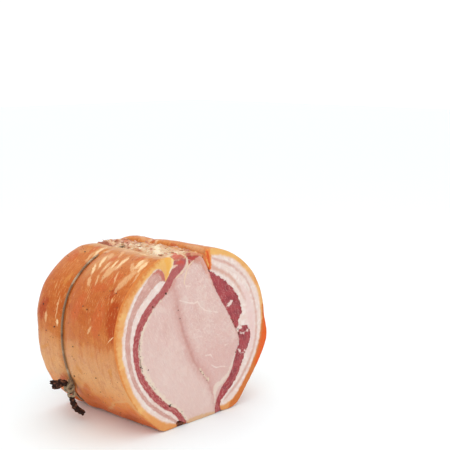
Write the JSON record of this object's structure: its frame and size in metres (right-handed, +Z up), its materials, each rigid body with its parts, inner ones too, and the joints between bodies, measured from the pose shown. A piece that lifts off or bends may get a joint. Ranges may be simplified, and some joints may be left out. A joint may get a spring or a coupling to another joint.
{
  "type": "porchetta half",
  "caption": "Half of a roasted pork roll: belly with glossy browned rind wrapped round a loin, cut across to show its layers, herb crust in the top seam, tied with twine",
  "frame": {"origin": "on the table, in the middle of the roll's length and width", "axes": "+Z up, -Y out of the cut face, +X to the right seen from the cut; the roll lies along Y"},
  "size_m": [0.2217, 0.148, 0.1837],
  "materials": {
    "roasted_skin": "roasted rind, glossy with fat",
    "streaky_lean": "pink belly lean, moist",
    "cooked_fat": "white cooked fat, waxy",
    "roasted_belly": "roasted rind over fat, glossy",
    "red_lean": "cured dark lean, moist",
    "red_lean_right": "cured dark lean, moist",
    "cooked_loin": "pale cooked loin, moist grain",
    "cooked_loin_right": "pale cooked loin, moist grain",
    "herb_crust": "rough crust of fat, herbs and pepper",
    "kitchen_twine": "cotton twine, charred at its ends"
  },
  "bodies": {
    "root": {"belly_left_rind": "roasted_skin", "belly_left_streak": "streaky_lean", "belly_left_fat": "cooked_fat", "belly_right": "roasted_belly", "lean_left": "red_lean", "lean_right": "red_lean_right", "loin_left": "cooked_loin", "loin_right": "cooked_loin_right", "herb_crust": "herb_crust", "twine": "kitchen_twine"}
  },
  "joints": []
}
